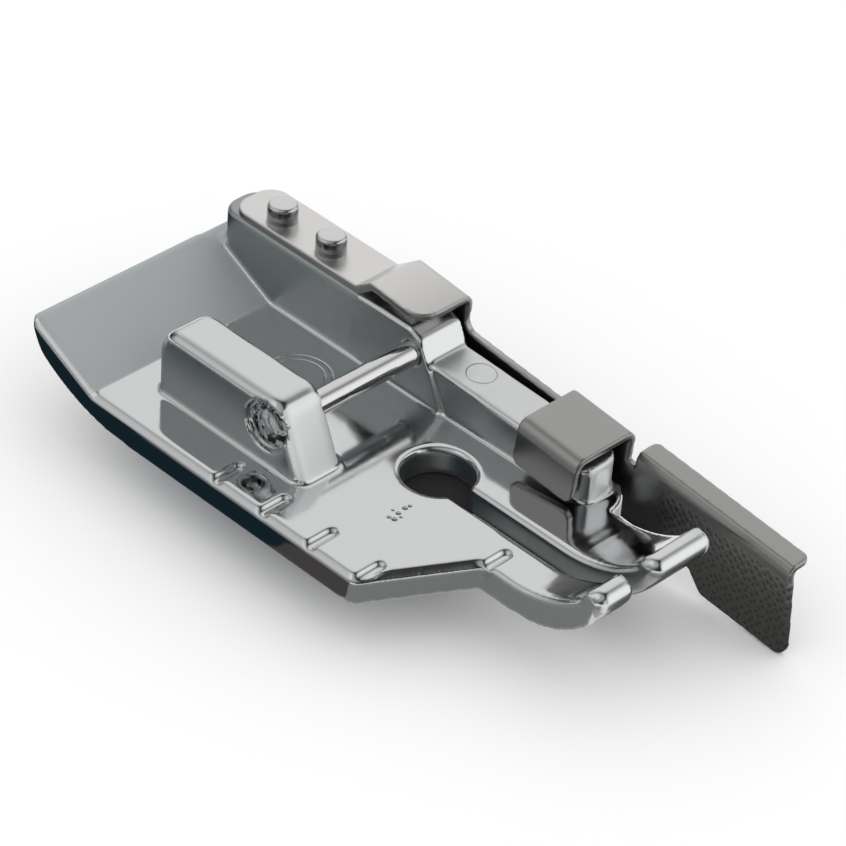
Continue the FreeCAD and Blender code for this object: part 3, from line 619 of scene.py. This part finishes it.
# %% Guide
GUIDE_SQUARE_MM = 0.08
guide = wrapped(merged_copy("guide_sheet", "guide_leaf", "guide_blade"), GUIDE_SQUARE_MM, 3)
add_values(guide, 0.35, 0.92)
rest_places = [part for point in guide.data.vertices for part in point.co]
guide.data.attributes.new("resting_place", "FLOAT_VECTOR", "POINT").data.foreach_set("vector", rest_places)
finish_with(guide, spring_sheet, None)
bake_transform(guide)
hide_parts("guide_leaf", "guide_blade")

# %% Pin
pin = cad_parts["ankle_pin"]
pin.data.materials.clear()
pin.data.materials.append(steel_pin)

# %% [markdown]
# Two alike studs rivet the sheet to the wall. One stud is turned from a profile, whose head
# rises into a soft dome, and Geometry Nodes sets a copy of it at each point of a short line.

# %% A turned stud
STUD_X_MM = 4.32
STUD_REAR_Y_MM = 15.60
STUD_PITCH_MM = 3.45
SEAT_MM = 5.80
SHANK_MM = 0.50
HEAD_MM = 0.78
SHANK_LOW_MM = 3.60
HEAD_SIDE_MM = 0.60
HEAD_DOME_MM = 0.40
DOME_POWER = 2 / 4.5
DOME_STEPS = 14


def stud_profile():
    """Radius and height in millimetres, from the shank's end up to the dome's rim."""
    line = [(SHANK_MM, SHANK_LOW_MM), (SHANK_MM, SEAT_MM), (HEAD_MM, SEAT_MM)]
    for step in range(DOME_STEPS):
        turn = math.radians(step * 90 / DOME_STEPS)
        line.append((HEAD_MM * math.cos(turn) ** DOME_POWER,
                     SEAT_MM + HEAD_SIDE_MM + HEAD_DOME_MM * math.sin(turn) ** DOME_POWER))
    return line


def turned(name, profile, top_mm, sides=64):
    """Turn a profile about Z and close both ends at the axis."""
    mesh = bmesh.new()
    rings = []
    for radius, height in profile:
        turns = [2 * math.pi * side / sides for side in range(sides)]
        rings.append([mesh.verts.new(Vector((radius * math.cos(t), radius * math.sin(t), height)) * MM)
                      for t in turns])
    for lower, upper in zip(rings, rings[1:]):
        for side in range(sides):
            after = (side + 1) % sides
            mesh.faces.new((lower[side], lower[after], upper[after], upper[side]))
    low = mesh.verts.new((0, 0, profile[0][1] * MM))
    high = mesh.verts.new((0, 0, top_mm * MM))
    for side in range(sides):
        after = (side + 1) % sides
        mesh.faces.new((low, rings[0][after], rings[0][side]))
        mesh.faces.new((high, rings[-1][side], rings[-1][after]))
    data = bpy.data.meshes.new(name)
    mesh.to_mesh(data)
    mesh.free()
    piece = bpy.data.objects.new(name, data)
    bpy.context.scene.collection.objects.link(piece)
    return piece


stud_pattern = turned("stud_pattern", stud_profile(), SEAT_MM + HEAD_SIDE_MM + HEAD_DOME_MM)
print("one stud has", len(stud_pattern.data.polygons), "faces")


# %% A row of studs with Geometry Nodes
def row_tree(name, pattern, material):
    """Copies of a pattern, set out at one pitch along Y."""
    tree = bpy.data.node_groups.new(name, "GeometryNodeTree")
    tree.interface.new_socket("Geometry", in_out="INPUT", socket_type="NodeSocketGeometry")
    tree.interface.new_socket("Count", in_out="INPUT", socket_type="NodeSocketInt")
    tree.interface.new_socket("Pitch", in_out="INPUT", socket_type="NodeSocketFloat")
    tree.interface.new_socket("Start", in_out="INPUT", socket_type="NodeSocketVector")
    tree.interface.new_socket("Geometry", in_out="OUTPUT", socket_type="NodeSocketGeometry")
    nodes, links = tree.nodes, tree.links
    given = nodes.new("NodeGroupInput")
    result = nodes.new("NodeGroupOutput")
    step = nodes.new("ShaderNodeCombineXYZ")
    back = nodes.new("ShaderNodeMath")
    back.operation = "MULTIPLY"
    back.inputs[1].default_value = -1.0
    line = nodes.new("GeometryNodeMeshLine")
    line.mode = "OFFSET"
    source = nodes.new("GeometryNodeObjectInfo")
    source.inputs["Object"].default_value = pattern
    copies = nodes.new("GeometryNodeInstanceOnPoints")
    real = nodes.new("GeometryNodeRealizeInstances")
    paint = nodes.new("GeometryNodeSetMaterial")
    paint.inputs["Material"].default_value = material
    links.new(given.outputs["Pitch"], back.inputs[0])
    links.new(back.outputs[0], step.inputs["Y"])
    links.new(given.outputs["Count"], line.inputs["Count"])
    links.new(given.outputs["Start"], line.inputs["Start Location"])
    links.new(step.outputs["Vector"], line.inputs["Offset"])
    links.new(line.outputs["Mesh"], copies.inputs["Points"])
    links.new(source.outputs["Geometry"], copies.inputs["Instance"])
    links.new(copies.outputs["Instances"], real.inputs["Geometry"])
    links.new(real.outputs["Geometry"], paint.inputs["Geometry"])
    links.new(paint.outputs["Geometry"], result.inputs["Geometry"])
    return tree


def with_tree(name, tree, values):
    """An object that holds what a tree makes, as plain mesh, from the named inputs' values."""
    piece = bpy.data.objects.new(name, bpy.data.meshes.new(name))
    bpy.context.scene.collection.objects.link(piece)
    maker = piece.modifiers.new("maker", "NODES")
    maker.node_group = tree
    for socket in tree.interface.items_tree:
        if socket.in_out == "INPUT" and socket.name in values:
            maker[socket.identifier] = values[socket.name]
    return applied(piece)


studs = with_tree("studs", row_tree("row_of_studs", stud_pattern, plated_studs), {
    "Count": 2,
    "Pitch": STUD_PITCH_MM * MM,
    "Start": (STUD_X_MM * MM, STUD_REAR_Y_MM * MM, 0.0),
})
bpy.data.objects.remove(stud_pattern)
add_values(studs, 0.10, 0.80)
finish_with(studs, plated_studs, "foot")
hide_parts("guide_studs")

# %% [markdown]
# Polished metal shows its surroundings and hardly anything else, so the studio is built for
# the mirror. A tent stands over the table and only reflections see it: its cloth is bright
# behind and to the right, where the flat top of the foot looks, and dim elsewhere. Dark
# cards lie beside the foot, as a photographer lays them to give chrome its dark sides.

# %% Surround and floor
world = bpy.data.worlds.new("studio")
world.use_nodes = True
bpy.context.scene.world = world
world.node_tree.nodes["Background"].inputs["Color"].default_value = (1, 1, 1, 1)
world.node_tree.nodes["Background"].inputs["Strength"].default_value = 1.06


def add_sheet(name, corners_mm, material):
    data = bpy.data.meshes.new(name)
    data.from_pydata([Vector(c) * MM for c in corners_mm], [], [tuple(range(len(corners_mm)))])
    sheet = bpy.data.objects.new(name, data)
    bpy.context.scene.collection.objects.link(sheet)
    data.materials.append(material)
    return sheet


def level_corners(low, high, z):
    """The corners of a level sheet, from its low and its high corner in X and Y."""
    return [(low[0], low[1], z), (high[0], low[1], z), (high[0], high[1], z), (low[0], high[1], z)]


def matt_paper(name, grey):
    material, nodes, _ = new_material(name)
    shader = nodes["Principled BSDF"]
    shader.inputs["Base Color"].default_value = (grey, grey, grey, 1)
    shader.inputs["Roughness"].default_value = 1.0
    shader.inputs["Specular IOR Level"].default_value = 0.0
    return material


def only_in_reflections(piece):
    piece.visible_camera = False
    piece.visible_diffuse = False
    piece.visible_shadow = False
    piece.visible_transmission = False


FLOOR_HALF_MM = 900
FLOOR_GAP_MM = 0.02
FLOOR_Z = cad_box[0][2] / MM - FLOOR_GAP_MM
floor_corners = level_corners((-FLOOR_HALF_MM, -FLOOR_HALF_MM), (FLOOR_HALF_MM, FLOOR_HALF_MM), FLOOR_Z)
add_sheet("floor", floor_corners, matt_paper("floor_white", 0.97))


# %% Dark cards
def add_card(name, low, high, lift, colour):
    material, nodes, links = new_material(name)
    glow = nodes.new("ShaderNodeEmission")
    glow.inputs["Color"].default_value = (*colour, 1)
    glow.inputs["Strength"].default_value = 1.0
    links.new(glow.outputs[0], nodes["Material Output"].inputs["Surface"])
    nodes.remove(nodes["Principled BSDF"])
    card = add_sheet(name, level_corners(low, high, FLOOR_Z + lift), material)
    only_in_reflections(card)


NAVY = (0.016, 0.034, 0.046)
BROWN = (0.13, 0.115, 0.11)
add_card("grey_card_left", (-90, -0.5), (-2, 90), 0.003, (0.27, 0.28, 0.28))
add_card("navy_card", (-14.5, -0.5), (-2, 19), 0.006, NAVY)
add_card("navy_card_rear", (-22, 17), (-2, 45), 0.007, NAVY)
add_card("brown_strip", (-14, -0.5), (-8.5, 4.5), 0.008, BROWN)
add_card("black_card_right", (-2, -7), (14, 40), 0.004, (0.03, 0.03, 0.03))
add_card("grey_card_front", (-20, -26), (1.2, -0.5), 0.002, (0.42, 0.42, 0.41))
add_card("dark_card_front", (1.2, -26), (12, -7), 0.0025, (0.12, 0.12, 0.12))

# %% White card beside the toes, seen from one side
white_card, card_nodes, card_links = new_material("white_card")
card_nodes.remove(card_nodes["Principled BSDF"])
front_glow = card_nodes.new("ShaderNodeEmission")
front_glow.inputs["Color"].default_value = (1, 1, 1, 1)
front_glow.inputs["Strength"].default_value = 0.95
see_through = card_nodes.new("ShaderNodeBsdfTransparent")
side = card_nodes.new("ShaderNodeNewGeometry")
one_sided = card_nodes.new("ShaderNodeMixShader")
card_links.new(side.outputs["Backfacing"], one_sided.inputs[0])
card_links.new(front_glow.outputs[0], one_sided.inputs[1])
card_links.new(see_through.outputs[0], one_sided.inputs[2])
card_links.new(one_sided.outputs[0], card_nodes["Material Output"].inputs["Surface"])
TOE_CARD = [(6.30, -9.5, -2.5), (6.30, -9.5, 1.9), (6.30, -6.7, 1.9), (6.30, -6.7, -2.5)]
white_sheet = add_sheet("white_card_toes", TOE_CARD, white_card)
only_in_reflections(white_sheet)
print("white card faces", tuple(round(c, 2) for c in white_sheet.data.polygons[0].normal))

# %% Dark sheet under the needle hole, painted shade where the foot shades the floor
HOLE_SHADE_HALF_MM = 1.95
HOLE_SHADE_Z = -0.02
hole_shade_corners = level_corners((-HOLE_SHADE_HALF_MM, -HOLE_SHADE_HALF_MM), (HOLE_SHADE_HALF_MM, HOLE_SHADE_HALF_MM), HOLE_SHADE_Z)
# Painted shade: a dark sheet on the floor under the hole and slot, seen only directly.
hole_shade = add_sheet("black_paper", hole_shade_corners, matt_paper("black_paper", 0.036))
hole_shade.visible_glossy = False


# %% Tent
def add_lobe(nodes, links, direction, lift, inner_deg, outer_deg, brightness):
    """A soft round patch of light on the tent, seen along one direction."""
    dot = nodes.new("ShaderNodeVectorMath")
    dot.operation = "DOT_PRODUCT"
    dot.inputs[1].default_value = Vector(direction).normalized()
    links.new(lift, dot.inputs[0])
    patch = nodes.new("ShaderNodeMapRange")
    patch.interpolation_type = "SMOOTHSTEP"
    patch.inputs["From Min"].default_value = math.cos(math.radians(outer_deg))
    patch.inputs["From Max"].default_value = math.cos(math.radians(inner_deg))
    patch.inputs["To Min"].default_value = 0.0
    patch.inputs["To Max"].default_value = brightness
    links.new(dot.outputs["Value"], patch.inputs["Value"])
    return patch.outputs["Result"]


TENT_RADIUS = 600
TENT_BASE = 0.035
TENT_LOBES = [
    ((0.585, 0.538, 0.607), 14, 54, 0.80),
    ((-0.585, -0.131, 0.793), 10, 42, 0.40),
    ((0.585, -0.78, 0.20), 14, 54, 1.05),
    ((-0.585, 0.538, 0.607), 10, 42, 0.42),
    ((-0.90, 0.43, 0.05), 20, 60, 0.20),
]

tent_cloth, nodes, links = new_material("tent_cloth")
nodes.remove(nodes["Principled BSDF"])
place = nodes.new("ShaderNodeTexCoord")
way = nodes.new("ShaderNodeVectorMath")
way.operation = "NORMALIZE"
links.new(place.outputs["Object"], way.inputs[0])
total = None
for direction, inner, outer, brightness in TENT_LOBES:
    patch = add_lobe(nodes, links, direction, way.outputs["Vector"], inner, outer, brightness)
    adder = nodes.new("ShaderNodeMath")
    adder.operation = "ADD"
    adder.inputs[1].default_value = TENT_BASE
    links.new(patch, adder.inputs[0])
    if total is not None:
        links.new(total, adder.inputs[1])
    total = adder.outputs[0]
glow = nodes.new("ShaderNodeEmission")
links.new(total, glow.inputs["Strength"])
glow.inputs["Color"].default_value = (1, 1, 1, 1)
links.new(glow.outputs[0], nodes["Material Output"].inputs["Surface"])

tent_mesh = bmesh.new()
bmesh.ops.create_icosphere(tent_mesh, subdivisions=5, radius=TENT_RADIUS * MM)
tent_data = bpy.data.meshes.new("tent")
tent_mesh.to_mesh(tent_data)
tent_mesh.free()
tent = bpy.data.objects.new("tent", tent_data)
bpy.context.scene.collection.objects.link(tent)
tent_data.materials.append(tent_cloth)
only_in_reflections(tent)
print("tent radius", TENT_RADIUS, "mm with", len(TENT_LOBES), "patches of light")
